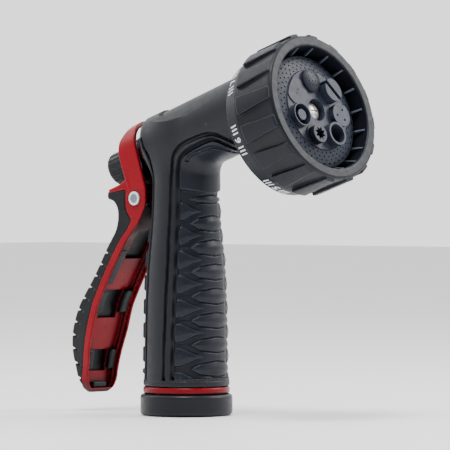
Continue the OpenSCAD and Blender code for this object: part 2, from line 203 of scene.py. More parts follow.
def surface_net(field):
    """Vertices, in grid steps, and outward quads where the field changes sign."""
    inside = field < 0
    shape = np.array(field.shape)
    total = np.zeros(shape - 1, np.int8)
    for i, j, k in CORNERS:
        total += inside[i:shape[0] - 1 + i, j:shape[1] - 1 + j, k:shape[2] - 1 + k]
    cells = np.argwhere((total > 0) & (total < 8))
    index = np.zeros(shape - 1, np.int64)
    index[tuple(cells.T)] = np.arange(len(cells))
    values = [field[tuple((cells + c).T)] for c in CORNERS]
    crossings = np.zeros((len(cells), 3))
    count = np.zeros((len(cells), 1))
    for a, start in enumerate(CORNERS):
        for axis in range(3):
            if start[axis]:
                continue
            end = values[a + (4 >> axis)]
            crosses = (values[a] < 0) != (end < 0)
            t = values[a] / np.where(crosses, values[a] - end, 1)
            point = np.array(start) + t[:, None] * np.eye(3)[axis]
            crossings += np.where(crosses[:, None], point, 0)
            count += crosses[:, None]
    quads = []
    for axis in range(3):
        u, v = np.eye(3, dtype=int)[(axis + 1) % 3], np.eye(3, dtype=int)[(axis + 2) % 3]
        start = np.moveaxis(inside, axis, 0)[:-1]
        end = np.moveaxis(inside, axis, 0)[1:]
        for solid_first in (True, False):
            found = np.argwhere((start == solid_first) & (end != solid_first))
            edges = np.zeros_like(found)
            edges[:, axis] = found[:, 0]
            others = [i for i in range(3) if i != axis]
            edges[:, others] = found[:, 1:]
            ring = [edges - u - v, edges - v, edges, edges - u]
            if not solid_first:
                ring.reverse()
            quads.append(np.stack([index[tuple(c.T)] for c in ring], 1))
    return cells + crossings / count, np.concatenate(quads)


def slope_at(distance, points, e=0.04):
    """Slope of the distance at each point, measured over 2e."""
    shifts = e * np.eye(3)
    return np.stack([distance(*(points + d).T) - distance(*(points - d).T) for d in shifts], 1) / (2 * e)


def settle(distance, points, reach):
    """Points moved along the slope of the distance onto its surface."""
    slope = slope_at(distance, points)
    move = slope * (distance(*points.T) / np.maximum((slope ** 2).sum(1), 0.3))[:, None]
    length = np.linalg.norm(move, axis=1, keepdims=True)
    return points - move * np.minimum(1, reach / np.maximum(length, 1e-9))


def mould(distance, low, high, step, place=Matrix.Identity(4)):
    """Points, quads and normals of the surface where distance(x, y, z) is zero, in millimetres."""
    vertices, quads = surface_net(sample(distance, low, high, step))
    points = np.array(low) + vertices * step
    for _ in range(SETTLE_ROUNDS):
        points = settle(distance, points, step / 2)
    slope = slope_at(distance, points, NORMAL_STEP)
    normals = slope / np.maximum(np.linalg.norm(slope, axis=1, keepdims=True), 1e-6)
    turn = np.array(place)
    return points @ turn[:3, :3].T + turn[:3, 3], quads, normals @ turn[:3, :3].T


def add_piece(name, surfaces, body, material, replaces=()):
    """One smooth piece made of surfaces in millimetres, riding on a body."""
    starts = np.cumsum([0] + [len(points) for points, _, _ in surfaces])
    points = np.concatenate([points for points, _, _ in surfaces]) * MM
    faces = np.concatenate([faces + start for (_, faces, _), start in zip(surfaces, starts)])
    normals = np.concatenate([normals for _, _, normals in surfaces])
    mesh = bpy.data.meshes.new(name)
    mesh.from_pydata(points.tolist(), [], faces.tolist())
    mesh.shade_smooth()
    mesh.normals_split_custom_set_from_vertices(normals.tolist())
    mesh.materials.append(material)
    piece = bpy.data.objects.new(name, mesh)
    bpy.context.scene.collection.objects.link(piece)
    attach(piece, body)
    if replaces:
        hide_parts(*replaces)
    return piece


# ---------- frames ----------


def along(x, z):
    """Place along the valve axis, and above it."""
    return x * COS + (z - VALVE_Z) * SIN, (z - VALVE_Z) * COS - x * SIN


def side_point(s, h):
    """Side-view point (x, z) from a place along the valve axis and above it."""
    return s * COS - h * SIN, VALVE_Z + s * SIN + h * COS


TURRET = Matrix(((-SIN, 0, COS, side_point(0, TURRET_H)[0]), (0, -1, 0, 0),
                 (COS, 0, SIN, side_point(0, TURRET_H)[1]), (0, 0, 0, 1)))

# ---------- the body's outer form ----------

HANDLE_RADIUS = [(14, 18.6), (20, 18.4), (34, 18.25), (51, 17.9), (68, 17), (79, 15.8), (92, 14.9),
                 (104, 14.7)]
FOOT_Z = 12.5
SKIN_Z = 15.2
BARREL_R = 16
BARREL_BACK = -14.5
BARREL_FRONT = 43.5
SIDE_SINK = 0.9      # how far the barrel's sides and top stay below its full radius
NECK_FILLET = 4.5
TOP_R = 14.3
TOP_EDGE = [(-5.6, 0), (-4.8, 26), (-3, 42), (1.2, 53), (6, 63), (10, 68), (15.4, 71), (21.5, 70),
            (27.5, 65), (32.7, 61), (37.5, 54), (43.5, 42)]
TUBE_R = 11.05
CORE_R = 12.55
CORE_FOOT_R = 15.05
CORE_FOOT_TOP = 16.05
EAR_Z = 95           # middle height of the opening for the pivot ear
EAR_REACH = 9
EAR_HALF = 5.1

REAR_LINE = [(-9.1, 15), (-8.9, 33), (-8.6, 51), (-7.9, 68), (-7.8, 92), (-7.6, 102), (-7.8, 108.1),
             side_point(-10.5, -4.1), side_point(-11.5, -0.4), side_point(-12, 3.5)]
PANEL_LINE = [(3, 15), (3.3, 34), (3.8, 51), (4.05, 68), (3.6, 79), (3.6, 92), (3.8, 101.6), (4.4, 108.1),
              (6, 112.9), side_point(9.1, -6.1), side_point(16, -5.9), side_point(21.9, -6.2),
              side_point(27.4, -7.8), side_point(30.6, -10.6), side_point(33.5, -14.5)]
GRIP_LINE = [(6.9, 16.4), (7.1, 34), (7.5, 51), (7.6, 68), (7.1, 79), (6.9, 92), (6.7, 101.6), (7, 107),
             (8.2, 110.8), side_point(8.9, -9.4), side_point(15, -8.9), side_point(22.6, -8.9),
             side_point(26.1, -10), side_point(28.7, -13.2), side_point(30, -16.5)]
NECK_LINE = [side_point(7, -12.5), side_point(9.5, -11.2), side_point(14.9, -11.1), side_point(21.2, -11.5),
             side_point(23.7, -12.4), side_point(26.3, -14.7), side_point(27.5, -17)]
SIDE_LOW, SIDE_HIGH = (-62, 2), (56, 156)

to_rear_line = charted(to_path, flow(REAR_LINE), SIDE_LOW, SIDE_HIGH)
to_panel_line = charted(to_path, flow(PANEL_LINE), SIDE_LOW, SIDE_HIGH)
to_grip_line = charted(to_path, flow(GRIP_LINE), SIDE_LOW, SIDE_HIGH)
to_neck_line = charted(to_path, flow(NECK_LINE), SIDE_LOW, SIDE_HIGH)
to_front_zone = charted(to_outline, flow(GRIP_LINE) + [(48, 100), (40, 16.4)], SIDE_LOW, SIDE_HIGH)


def handle_radius(z):
    """Radius of the handle at a height."""
    return through(z, HANDLE_RADIUS)


def handle(x, y, z):
    """Handle, rounded at its lower edge."""
    return corner(np.hypot(x, y) - handle_radius(z), SKIN_Z - z, 0.6)


def barrel(x, y, z):
    """Round barrel with a sunk strip along its top and a rounded rear edge."""
    s, h = along(x, z)
    angle = np.degrees(np.arctan2(np.abs(y), h))
    radius = BARREL_R - SIDE_SINK * (1 - ease(15, 60, angle))
    sunk = ease(-0.8, 0.8, np.interp(s, *zip(*TOP_EDGE)) - angle)
    radius = radius + (TOP_R + 0.012 * s - radius) * sunk
    rounded = corner(np.hypot(y, h) - radius, BARREL_BACK - s, 3.2)
    return np.maximum(rounded, s - BARREL_FRONT)


def form(x, y, z):
    """Handle and barrel with the fillet of the neck."""
    top = np.maximum(handle(x, y, z), z - VALVE_Z - 6)
    return blend(top, barrel(x, y, z), NECK_FILLET)


def core(x, y, z):
    """The casting that the moulded parts sit on."""
    s, h = along(x, z)
    foot = np.maximum(np.hypot(x, y) - CORE_FOOT_R, z - CORE_FOOT_TOP)
    tube = np.maximum(np.hypot(x, y) - TUBE_R, z - VALVE_Z)
    return np.minimum(np.minimum(foot, tube), np.hypot(y, h) - CORE_R)


def ear_opening(x, y, z):
    """Room behind the handle for the casting's pivot ear."""
    return np.maximum(np.abs(y) - EAR_HALF, np.maximum(x, np.abs(z - EAR_Z) - EAR_REACH))


def cut(distance, half_width):
    """Depth profile of a moulded groove: 1 in its middle, 0 outside."""
    return 1 - ease(half_width - 0.15, half_width + 0.3, distance)


# ---------- body pieces ----------

GROOVE_DEPTH = 1.6
FOOT_R = 18.7
BACK_TURN = 50       # half the rear strip's width, in degrees round the handle
BACK_TOP = 88
BACK_BOTTOM = 16.2
TURN_MM = 0.3        # millimetres round the handle in one degree, roughly


def jacket_distance(x, y, z):
    """Hard skin with three lines moulded into each side, open at the front and back for the rubber."""
    skin = form(x, y, z)
    grooves = np.maximum(cut(to_rear_line(x, z), 0.5), cut(to_panel_line(x, z), 0.65))
    grooves = np.maximum(grooves, cut(to_grip_line(x, z), 0.75))
    skin = skin + GROOVE_DEPTH * grooves
    outside_front = np.maximum(skin, -to_front_zone(x, z))
    foot_height = np.abs(z - (FOOT_Z + SKIN_Z) / 2 - 0.1) - (SKIN_Z - FOOT_Z) / 2
    foot = corner(np.hypot(x, y) - FOOT_R, foot_height, 0.7)
    turn = np.degrees(np.arctan2(np.abs(y), -x))
    back = np.maximum(corner(turn - BACK_TURN, z - BACK_TOP, 4), BACK_BOTTOM - z) * TURN_MM
    outside_front = np.maximum(outside_front, -back)
    shell = np.maximum(np.minimum(outside_front, foot), -core(x, y, z))
    return np.maximum(shell, -ear_opening(x, y, z))


ROW = 10.42
ROWS = 7
WEDGE_Z = 25.6
LENS_Z = 20.3
SHORT_LENS_Z = 88    # the lenses above this are squeezed to SHORT_LENS of their height
SHORT_LENS = 0.55
NECK_Z = 95.2
NECK_SLOPE = 0.036
NECK_DEPTH = 0.6
RIB_DEPTH = 1.5
RIB_INSET = 0.1
SADDLE = 0.7
RIB_STEP, RIB_CROWN = 0.72, 0.28
# Half heights of the wedges and lenses, by degrees round the handle from its front
WEDGE_HALF = [(16, 0.1), (22, 0.45), (30, 1), (38, 1.8), (47, 3.1), (55, 4.1), (70, 4.3)]
LENS_HALF = [(0, 3.5), (12, 3.15), (29, 2.4), (38, 1), (43, 0.02)]


def row_offset(z, first, last):
    """Height above the nearest row of a run of rows."""
    return z - first - ROW * np.clip(np.round((z - first) / ROW), 0, last)


def rib_rise(depth, crown):
    """Height of a rib at a depth inside its outline: a steep step, then a slow crown."""
    return RIB_STEP * ease(-0.1, 0.6, depth) + RIB_CROWN * ease(0.3, crown, depth)


def rib_cover(x, y, z):
    """How far the ribs rise at a place on the front grip, from 0 in a valley to 1."""
    turn = np.degrees(np.arctan2(np.abs(y), x))
    wedge = np.interp(turn, *zip(*WEDGE_HALF)) - np.abs(row_offset(z, WEDGE_Z - ROW, ROWS))
    lens_half = np.interp(turn, *zip(*LENS_HALF))
    lens_half = np.where(z > SHORT_LENS_Z, SHORT_LENS * lens_half, lens_half)
    lens = lens_half - np.abs(row_offset(z, LENS_Z, ROWS))
    saddle = SADDLE * (1 - ease(20, 34, turn)) * ease(-0.4, 0.5, -lens)
    return np.maximum(np.maximum(rib_rise(wedge, 3.4), rib_rise(lens, 3)), saddle)


def front_grip_distance(x, y, z):
    """Rubber down the front of the handle: ribs below a smooth neck."""
    skin = form(x, y, z)
    turn = np.degrees(np.arctan2(np.abs(y), x))
    neck = ease(-0.2, 0.8, z - NECK_Z - NECK_SLOPE * turn)
    cover = np.maximum(rib_cover(x, y, z), neck)
    sunk = np.maximum(RIB_DEPTH * (1 - cover), GROOVE_DEPTH * cut(to_grip_line(x, z), 0.65))
    line = NECK_DEPTH * cut(to_neck_line(x, z), 0.5)
    skin = skin - RIB_INSET * (1 - neck) + np.maximum(sunk, line)
    skin = np.maximum(skin, to_front_zone(x, z) + 0.05)
    return np.maximum(skin, 0.02 - core(x, y, z))


BACK_BLOCKS = [(18.9, 1.5), (26.2, 3.75), (36.5, 3.75), (46.8, 3.75), (57.1, 3.75), (67.5, 3.75),
               (77.9, 3.75)]
BLOCK_TURN = 38      # half the width of a block, in degrees round the handle


def back_grip_distance(x, y, z):
    """Rubber strip down the back with a row of raised blocks."""
    turn = np.degrees(np.arctan2(np.abs(y), -x))
    radial = np.hypot(x, y) - handle_radius(z)
    block = np.full(np.shape(z), -10.0)
    for row, half in BACK_BLOCKS:
        block = np.maximum(block, half - np.abs(z - row))
    block = np.minimum(block, (BLOCK_TURN - turn) * TURN_MM)
    skin = radial + 0.5 - 1.3 * ease(-0.3, 1.0, block)
    edge = np.maximum(corner((turn - BACK_TURN) * TURN_MM, z - BACK_TOP, 1.2), BACK_BOTTOM - z) + 0.06
    lower = np.maximum(corner(skin, edge, 0.5), 0.02 - core(x, y, z))
    return np.maximum(lower, -ear_opening(x, y, z))


# ---------- lever ----------

LEVER_BACK = [(-55.7, 12.5), (-55.5, 18), (-54.3, 25), (-52.7, 31.3), (-50.2, 40), (-47.2, 49), (-42.2, 58),
              (-37, 66.7), (-31.2, 75.5), (-27.2, 80), (-25.8, 84), (-25.7, 88.6), (-25.6, 93), (-25.2, 98)]
LEVER_RIM = [(-54, 13), (-53, 18), (-51.4, 26.8), (-49, 35.7), (-46.3, 44.6), (-44.6, 49), (-39.8, 57.9),
             (-34.6, 66.7), (-28.6, 75.5), (-24.6, 79.9), (-22, 84.2), (-23, 86), (-24.7, 88.8), (-25.4, 93),
             (-25, 98)]
LEVER_FREE = [(-13.4, 98), (-13.4, 93), (-14, 90), (-15.2, 87.4), (-16.7, 84.8), (-18.6, 82.1), (-24.6, 75.6),
              (-30.6, 66.8), (-36, 58), (-41, 49), (-43, 44.6), (-45.6, 35.8), (-48.2, 26.9), (-49.9, 18),
              (-50.3, 14.5)]
LEVER_TIP = [(-50.8, 10), (-52.2, 8), (-54.8, 7.9), (-56, 9.8)]
LEVER_TOP = [side_point(-29.2, -13.8), side_point(-19.6, -13.8)]
HOOD = [(-28.6, -15.5), (-29.8, -9), (-30.3, -3), (-30.2, 3), (-29, 8), (-25.6, 12.8), (-21.9, 16.5),
        (-19.4, 16.5), (-19.5, -15.5)]
SPUR = [(-41, -11.4), (-40.7, -9.8), (-34, -9.7), (-29, -8.6), (-28, -8.6), (-28, -16), (-30.6, -16),
        (-31.4, -13)]
# Openings through the web: middle height, height, middle y, half width
WINDOWS = [(47.2, 12.4, 0, 5.6), (22.2, 9.4, 0, 5), (73.6, 12.4, 3.2, 5.6)]
WALL = 1.8
RIM_WALL = 1.2
WALL_STEP = 0.9      # how much thicker the channel's walls are near its web
PAD_INSET = 1.0
CHANNEL_FLOOR = 9.9
PLATE_TOP_H = -13
ARCH_H = 3           # the hood's round top is centred this far above the valve axis
LEVER_HALF = 12
FOOT_HALF = 10
TIP_Z = 16
TIP_LENGTH = 9.6
YOKE_S = -30.1
YOKE_HALF = 10.8
YOKE_LOW_H = -14
STEM_HOLE = 3.6
SPUR_OPEN_S = -29.5
BOSS_R = 3.3
BOSS_HALF = 11
RIVET_HOLE = 2.42

to_lever_side = charted(to_outline, flow(LEVER_BACK) + LEVER_TOP + flow(LEVER_FREE) + LEVER_TIP,
                        SIDE_LOW, SIDE_HIGH)
to_lever_back = charted(to_outline, [(-56.4, 2)] + flow(LEVER_BACK) + [(30, 98), (30, 2)],
                        SIDE_LOW, SIDE_HIGH)
to_lever_rim = charted(to_outline, [(-54, 2)] + flow(LEVER_RIM) + [(-25, 160), (60, 160), (60, 2)],
                       SIDE_LOW, SIDE_HIGH)
to_hood = charted(to_outline, HOOD, (-60, -40), (60, 40))
to_spur = charted(to_outline, SPUR, (-60, -40), (60, 40))


def lever_half(z):
    """Half the lever's width: it narrows towards the foot and ends in a round tip."""
    tip = np.sqrt(np.clip(1 - ((TIP_Z - np.minimum(z, TIP_Z)) / TIP_LENGTH) ** 2, 0.05, 1))
    return (FOOT_HALF + (LEVER_HALF - FOOT_HALF) * ease(14, 38, z)) * tip


def lever_block(x, y, z):
    """The lever's solid outer form, stepped in where the rubber pad covers its sides."""
    inset = PAD_INSET * ease(-0.15, 0.25, to_lever_rim(x, z))
    return corner(to_lever_side(x, z), np.abs(y) - lever_half(z) + inset, 0.6)


def lever_distance(x, y, z):
    """Red channel with windows, a hood and yoke round the stem, a thumb spur and the pivot's bosses."""
    s, h = along(x, z)
    web = to_lever_back(x, z) + WALL
    wall = RIM_WALL + WALL_STEP * ease(-2, -1.7, web)
    channel = corner(np.maximum(web, CHANNEL_FLOOR - z), np.abs(y) - lever_half(z) + wall, 0.5)
    plate = np.maximum(np.maximum(lever_block(x, y, z), -channel), h - PLATE_TOP_H)
    for middle, tall, centre, half in WINDOWS:
        window = corner(np.abs(z - middle) - tall / 2, np.abs(y - centre) - half, 0.6)
        plate = np.maximum(plate, -np.maximum(window, -0.5 - web))
    bow = np.hypot(y, np.maximum(h - ARCH_H, 0))
    hood = corner(to_hood(s, h), np.abs(bow - LEVER_HALF + WALL / 2) - WALL / 2, 0.6)
    yoke_face = np.maximum(np.maximum(np.abs(y) - YOKE_HALF, h), YOKE_LOW_H - h)
    yoke = corner(np.abs(s - YOKE_S) - WALL / 2, yoke_face, 0.3)
    yoke = np.maximum(yoke, STEM_HOLE - np.hypot(y, h))
    spur = corner(to_spur(s, h), np.abs(y) - LEVER_HALF, 0.7)
    spur = np.maximum(spur, -np.maximum(np.abs(y) - LEVER_HALF + WALL, SPUR_OPEN_S - s))
    outer = np.hypot(x - PIVOT_X, z - PIVOT_Z)
    boss = np.maximum(outer - BOSS_R, np.maximum(EAR_HALF - np.abs(y), np.abs(y) - BOSS_HALF))
    whole = blend(blend(plate, hood, 0.5), spur, 0.5)
    whole = np.minimum(np.minimum(whole, yoke), boss)
    return np.maximum(whole, RIVET_HOLE - outer)


PAD_FACE = [(-54, 9.8), (-56, 13), (-57.6, 19.1), (-58.7, 25.7), (-58.3, 32.3), (-56.7, 39), (-53.8, 46.1),
            (-49.9, 52), (-45.4, 58.2), (-41.1, 64.9), (-37.1, 71.5), (-34, 76.1), (-32.2, 78.6), (-31, 81.2),
            (-30.3, 84.2), (-30.2, 87.3), (-30.7, 89.5), (-31.9, 91.4), (-33.4, 92.6), (-34.8, 93),
            (-35.9, 93.4), (-36.4, 94.4), (-36.2, 96.6)]
to_pad_face = charted(to_path, flow(PAD_FACE), SIDE_LOW, SIDE_HIGH)
to_pad_side = charted(to_outline, flow(PAD_FACE) + [side_point(-30.2, -13.3)] + flow(LEVER_RIM)[::-1],
                      SIDE_LOW, SIDE_HIGH)
PAD_ROW = 6.2
PAD_BLOCK_TOP = 73   # the pad is smooth above this height
PAD_GROOVE = 1.1
# Rubber tabs through the web: middle height, height, middle y, half width
PAD_TABS = [(48, 9.8, 7.9, 2.2), (48, 9.8, -7.9, 2.2), (22.4, 8.6, 6.9, 1.8), (22.4, 8.6, -6.9, 1.8),
            (63.5, 15, -7.6, 2.2), (11.3, 2.6, 0, 4.2)]
TAB_HEIGHT = 2.3


def pad_distance(x, y, z):
    """Rubber pad over the lever's back, with blocks below and tabs through the channel."""
    along_pad = (z + 0.35 * x + 2) / PAD_ROW
    block = PAD_ROW / 2 - 0.45 - np.abs(along_pad - np.round(along_pad)) * PAD_ROW
    block = np.where(z < PAD_BLOCK_TOP, block, 5)
    groove = PAD_GROOVE * (1 - ease(-0.35, 0.35, block)) * (1 - ease(2.4, 4.4, to_pad_face(x, z)))
    side = corner(to_pad_side(x, z) + groove, np.abs(y) - lever_half(z) + 0.2 + 0.6 * groove, 1.0)
    pad = np.maximum(side, 0.03 - lever_block(x, y, z))
    above_web = -to_lever_back(x, z) - WALL
    for middle, tall, centre, half in PAD_TABS:
        tab = corner(np.abs(z - middle) - tall / 2, np.abs(y - centre) - half, 0.9)
        pad = np.minimum(pad, corner(tab, np.maximum(-0.6 - above_web, above_web - TAB_HEIGHT), 0.7))
    return pad


# ---------- turret ----------

# Section of the ring as (radius, place along the turret's axis)
RING_PROFILE = [(27.2, 49.5), (29.4, 49.5), (30, 50.1), (31.4, 56.2), (31.4, 60), (32, 76.6), (31.7, 77.4),
                (31, 77.8), (27.8, 77.8), (27.4, 77.6), (27.2, 77.1)]
LUGS = 16
LUG_R = 33.15
LUG_ROOT = 29.5
LUG_BACK, LUG_FRONT = 58, 76.9
PLATE_EDGE = 71.8
RIM_FRONT = 77.8
RIBS = 18
RIB_BACK = 62
RIB_R = 26           # radius at which the ribs have their nominal thickness
RIM_R = 27.2
PLATE_R = 25.2
to_ring_profile = charted(to_outline, RING_PROFILE, (18, 44), (36, 82), 0.1)


def repeat(angle, count, phase=0.5):
    """Angle from the middle of the nearest of count equal places."""
    pitch = 2 * math.pi / count
    return angle - pitch * (np.round(angle / pitch - phase) + phase)


def ring_distance(x, y, z):
    """Turret rim with grip lugs outside; z runs along the turret's axis."""
    r = np.hypot(x, y)
    angle = np.arctan2(y, x)
    ring = to_ring_profile(r, z)
    lug_half = 4.1 - 1.1 * ease(57.8, 76, z)
    lug = corner(np.abs(repeat(angle, LUGS)) * LUG_R - lug_half, r - LUG_R, 0.5)
    lug = corner(lug, np.maximum(LUG_BACK - z, z - LUG_FRONT), 0.8)
    lug = np.maximum(lug, LUG_ROOT - r)
    return blend(ring, lug, 0.3)


def rib_distance(x, y, z):
    """Thin ribs inside the rim, whose front edges slope up from the plate to the rim."""
    r = np.hypot(x, y)
    slope = PLATE_EDGE + (r - PLATE_R) * (RIM_FRONT - 1 - PLATE_EDGE) / (RIM_R - PLATE_R)
    rib = corner(np.abs(repeat(np.arctan2(y, x), RIBS)) * RIB_R - 0.45, z - slope, 0.2)
    return np.maximum(rib, np.maximum(np.maximum(PLATE_R + 0.05 - r, r - RIM_R), RIB_BACK - z))


TICKS = [[(u, -1.5), (u, 1.5)] for u in (-6.3, -4.7, -3.1, 3.1, 4.7, 6.3)]
STROKE = 0.36        # half the width of a painted line
MARK_Z = 53
BEVEL_Z, BEVEL_R = 50.1, 30.05
BEVEL_RISE, BEVEL_LENGTH = 1.4, 6.1
MARK_SINK = 0.22
MARK_R = 31
GLYPHS = {
    1: [[(-0.7, 0.8), (0.2, 1.5), (0.2, -1.5)]],
    2: [[(-0.9, 0.8), (-0.3, 1.5), (0.6, 1.4), (0.9, 0.6), (-0.9, -1.5), (0.9, -1.5)]],
    3: [[(-0.8, 1.5), (0.8, 1.5), (0, 0.3), (0.8, -0.2), (0.8, -1.1), (0, -1.5), (-0.9, -1.1)]],
    4: [[(0.5, -1.5), (0.5, 1.5), (-0.9, -0.5), (1, -0.5)]],
    5: [[(0.8, 1.5), (-0.7, 1.5), (-0.8, 0.2), (0.3, 0.4), (0.9, -0.4), (0.4, -1.4), (-0.8, -1.4)]],
    6: [[(0.7, 1.5), (-0.5, 0.6), (-0.8, -0.7), (-0.1, -1.5), (0.8, -1), (0.7, -0.1), (-0.6, -0.2)]],
    7: [[(-0.9, 1.5), (0.9, 1.5), (-0.2, -1.5)]],
}


def mark_surfaces():
    """White numerals between ticks on the bevel, one set for each spray pattern."""
    surfaces = []
    for number, strokes in GLYPHS.items():
        turned = -2 * math.pi * (number - 1) / STATIONS

        def distance(u, v, w):
            line = np.full(np.shape(u), FAR)
            for stroke in strokes + TICKS:
                line = np.minimum(line, to_path(u, v, stroke))
            return np.maximum(line - STROKE, np.abs(w) - 0.3)

        points, quads, flat = mould(distance, (-7.2, -2.2, -0.7), (7.2, 2.2, 0.7), 0.2)
        u, v, w = points.T
        z = MARK_Z - v
        r = BEVEL_R + BEVEL_RISE * (z - BEVEL_Z) / BEVEL_LENGTH + w - MARK_SINK
        angle = turned - u / MARK_R
        spot = np.stack([r * np.cos(angle), r * np.sin(angle), z], 1)
        place = np.array(TURRET)
        around = np.stack([np.sin(angle), -np.cos(angle), 0 * angle], 1)
        outward = np.stack([np.cos(angle), np.sin(angle), 0 * angle], 1)
        forward = np.array((0, 0, 1))
        normals = flat[:, :1] * around - flat[:, 1:2] * forward + flat[:, 2:] * outward
        surfaces.append((spot @ place[:3, :3].T + place[:3, 3], quads, normals @ place[:3, :3].T))
    return surfaces


# ---------- inlet ----------

THREAD_PITCH = 25.4 / 11.5
THREAD_R = 12.35
THREAD_DEPTH = 0.95
THREAD_END = 8.6
WASHER_R, WASHER_END = 12.02, 11
WATERWAY_R = 7.5
SOCKET_R = 16.15
SOCKET_Z, SOCKET_HALF = 6.55, 5.95


def socket_distance(x, y, z):
    """Threaded socket: a helical groove cut outwards from its bore."""
    r = np.hypot(x, y)
    turns = z / THREAD_PITCH - np.arctan2(y, x) / (2 * math.pi)
    tooth = np.abs(turns - np.round(turns)) * THREAD_PITCH
    thread = np.clip(1.05 - 1.5 * np.maximum(tooth - 0.2, 0), 0, THREAD_DEPTH)
    thread = thread * (1 - ease(7.2, 8.2, z)) * ease(0.8, 1.6, z)
    bore = np.where(z < THREAD_END, THREAD_R + thread, np.where(z < WASHER_END, WASHER_R, WATERWAY_R))
    wall = corner(r - SOCKET_R, np.abs(z - SOCKET_Z) - SOCKET_HALF, 0.4)
    return np.maximum(wall, bore - r)


# ---------- materials ----------


def new_material(name, colour, rough, metal=0.0):
    """Material and its shader, with plain values for what isn't linked later."""
    material = bpy.data.materials.new(name)
    material.use_nodes = True
    shader = material.node_tree.nodes["Principled BSDF"]
    shader.inputs["Base Color"].default_value = (*colour, 1)
    shader.inputs["Roughness"].default_value = rough
    shader.inputs["Metallic"].default_value = metal
    return material, shader


def srgb(code):
    """Linear colour from a web colour code."""
    parts = [int(code[i:i + 2], 16) / 255 for i in (1, 3, 5)]
    return tuple(((c + 0.055) / 1.055) ** 2.4 if c > 0.04045 else c / 12.92 for c in parts)


def add(tree, kind, **inputs):
    """A node with its input values set by name."""
    node = tree.nodes.new(kind)
    for socket, value in inputs.items():
        node.inputs[socket.replace("_", " ")].default_value = value
    return node


def noise(tree, scale, detail=3.0):
    """Noise over the piece's own coordinates, with scale in cycles per metre."""
    place = tree.nodes.new("ShaderNodeTexCoord")
    texture = add(tree, "ShaderNodeTexNoise", Scale=scale, Detail=detail)
    tree.links.new(place.outputs["Object"], texture.inputs["Vector"])
    return texture.outputs["Fac"]


def spread(tree, value, low, high):
    """The middle of a 0-1 value mapped to low-high."""
    node = add(tree, "ShaderNodeMapRange", From_Min=0.3, From_Max=0.7, To_Min=low, To_Max=high)
    tree.links.new(value, node.inputs["Value"])
    return node.outputs["Result"]


def mix_colour(tree, factor, first, second):
    """Colour between first and second, by a factor from a node."""
    node = tree.nodes.new("ShaderNodeMix")
    node.data_type = "RGBA"
    node.inputs["A"].default_value = (*first, 1)
    node.inputs["B"].default_value = (*second, 1)
    tree.links.new(factor, node.inputs["Factor"])
    return node.outputs["Result"]


def darken(tree, colour, factor, clear, shade):
    """Painted shade: colour darkened where the occlusion value shade falls below clear, by as much as factor.
    """
    node = tree.nodes.new("ShaderNodeMix")
    node.data_type = "RGBA"
    node.blend_type = "MULTIPLY"
    node.inputs["Factor"].default_value = factor
    tree.links.new(colour, node.inputs["A"])
    ramp = add(tree, "ShaderNodeMapRange", From_Min=clear - 0.52, From_Max=clear, To_Min=0.04)
    tree.links.new(shade, ramp.inputs["Value"])
    tree.links.new(ramp.outputs["Result"], node.inputs["B"])
    return node.outputs["Result"]


# The edge factor sets how much lighter the painted edge highlight is.
def finish(name, colour, other, rough, grain=2200.0, depth=0.00004, metal=0.0, gloss=0.25, edge=1.6,
           shade_reach=0.0016, painted_shade=0.7, clear=0.9, sharp=(0.52, 0.6)):
    """Moulded or metal surface: slow colour drift, painted shade in hollows and creases, painted highlights
    on sharp edges and a fine grain.
    """
    material, shader = new_material(name, srgb(colour), rough[0], metal)
    tree = material.node_tree
    drift = spread(tree, noise(tree, 90.0), 0, 1)
    base = mix_colour(tree, drift, srgb(colour), srgb(other))
    # Ambient occlusion over a short reach, used below to paint shade into the colour in hollows and creases.
    near = add(tree, "ShaderNodeAmbientOcclusion", Distance=shade_reach)
    near.samples = 12
    base = darken(tree, base, painted_shade, clear, near.outputs["AO"])
    # Painted highlight: sharp edges, read from pointiness, lightened towards a brighter copy of the other
    # colour.
    edge_highlight = tree.nodes.new("ShaderNodeMix")
    edge_highlight.data_type = "RGBA"
    edge_highlight.inputs["B"].default_value = (*(min(1, edge * c + 0.003) for c in srgb(other)), 1)
    shape = tree.nodes.new("ShaderNodeNewGeometry")
    point = add(tree, "ShaderNodeMapRange", From_Min=sharp[0], From_Max=sharp[1], To_Max=0.85)
    tree.links.new(shape.outputs["Pointiness"], point.inputs["Value"])
    tree.links.new(point.outputs["Result"], edge_highlight.inputs["Factor"])
    tree.links.new(base, edge_highlight.inputs["A"])
    tree.links.new(edge_highlight.outputs["Result"], shader.inputs["Base Color"])
    tree.links.new(spread(tree, noise(tree, 420.0), *rough), shader.inputs["Roughness"])
    shader.inputs["Specular IOR Level"].default_value = gloss
    bump = add(tree, "ShaderNodeBump", Strength=0.4, Distance=depth)
    tree.links.new(noise(tree, grain, 2.0), bump.inputs["Height"])
    tree.links.new(bump.outputs["Normal"], shader.inputs["Normal"])
    return material


def rivet_finish():
    """Plated rivet: a painted highlight for its bright rim, round a dished middle painted darker blue-grey as
    a reflection.
    """
    material, shader = new_material("rivet_steel", (0.8, 0.8, 0.8), 0.35, 0.6)
    tree = material.node_tree
    place = tree.nodes.new("ShaderNodeTexCoord")
    side = tree.nodes.new("ShaderNodeVectorMath")        # leaves out the width, to measure in side view
    side.operation = "MULTIPLY"
    side.inputs[1].default_value = (1, 0, 1)
    away = tree.nodes.new("ShaderNodeVectorMath")
    away.operation = "DISTANCE"
    away.inputs[1].default_value = (PIVOT_X * MM, 0, PIVOT_Z * MM)
    rim = add(tree, "ShaderNodeMapRange", From_Min=0.0018, From_Max=0.0022)
    tree.links.new(place.outputs["Object"], side.inputs[0])
    tree.links.new(side.outputs["Vector"], away.inputs[0])
    tree.links.new(away.outputs["Value"], rim.inputs["Value"])
    # Painted highlight on the rim and painted reflection in the dished middle, blended by side-view distance
    # from the pivot.
    colour = mix_colour(tree, rim.outputs["Result"], srgb("#7d8f9e"), srgb("#f4f4f2"))
    tree.links.new(colour, shader.inputs["Base Color"])
    tree.links.new(spread(tree, noise(tree, 900.0), 0.28, 0.42), shader.inputs["Roughness"])
    return material


